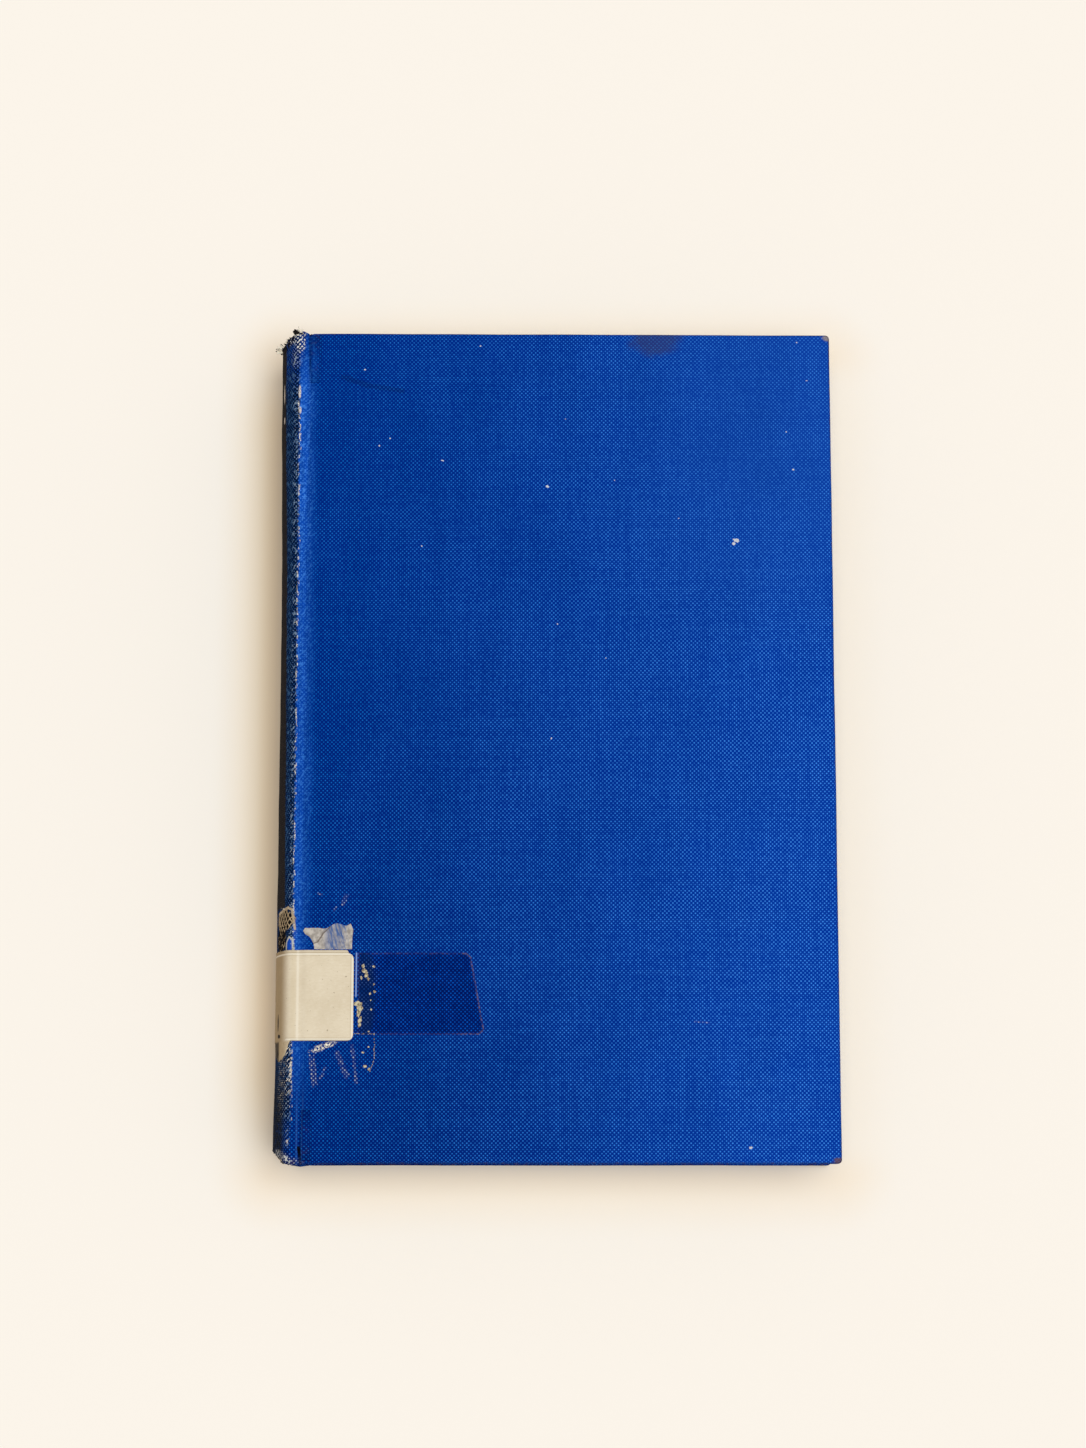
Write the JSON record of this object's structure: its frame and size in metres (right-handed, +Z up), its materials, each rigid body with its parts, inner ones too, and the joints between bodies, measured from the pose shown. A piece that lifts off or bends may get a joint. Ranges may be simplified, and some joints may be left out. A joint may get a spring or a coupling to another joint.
{
  "type": "hardback book",
  "caption": "Worn cloth-bound hardback with a rounded hollow back, turned-in case and a paper shelf label; both covers open.",
  "frame": {"origin": "middle of the footprint, on the surface that the back cover lies on", "axes": "+X from the spine to the fore edge, +Y from the tail to the head, +Z up through the front cover"},
  "size_m": [0.1282, 0.192, 0.0261],
  "materials": {
    "page_paper": "aged, matte",
    "end_paper": "aged, smooth matte",
    "mull_cloth": "open weave",
    "lining_paper": "brown kraft, matte",
    "board": "grey millboard",
    "case_cloth": "plain linen weave, royal blue, worn",
    "label_paper": "cream, soiled",
    "tape": "clear, old",
    "scrap_paper": "torn, rubbed"
  },
  "bodies": {
    "leaves": {"text_block": "page_paper", "front_flyleaf": "end_paper", "back_flyleaf": "end_paper", "mull": "mull_cloth", "spine_lining": "lining_paper", "spine_inlay": "board", "spine_cloth": "case_cloth", "spine_label": "label_paper"},
    "front_cover": {"front_board": "board", "front_cloth": "case_cloth", "front_mull_flange": "mull_cloth", "front_pastedown": "end_paper", "front_label": "label_paper", "tape_patch": "tape", "label_scrap": "scrap_paper"},
    "back_cover": {"back_board": "board", "back_cloth": "case_cloth", "back_mull_flange": "mull_cloth", "back_pastedown": "end_paper"}
  },
  "joints": [
    {"name": "front_cover_hinge", "type": "hinge", "parent": "leaves", "child": "front_cover", "pos_m": [-0.06042, 0, 0.0244], "axis": [0, -1, 0], "range_deg": [0, 180]},
    {"name": "back_cover_hinge", "type": "hinge", "parent": "leaves", "child": "back_cover", "pos_m": [-0.06042, 0, 0.0016], "axis": [0, 1, 0], "range_deg": [0, 180]}
  ]
}
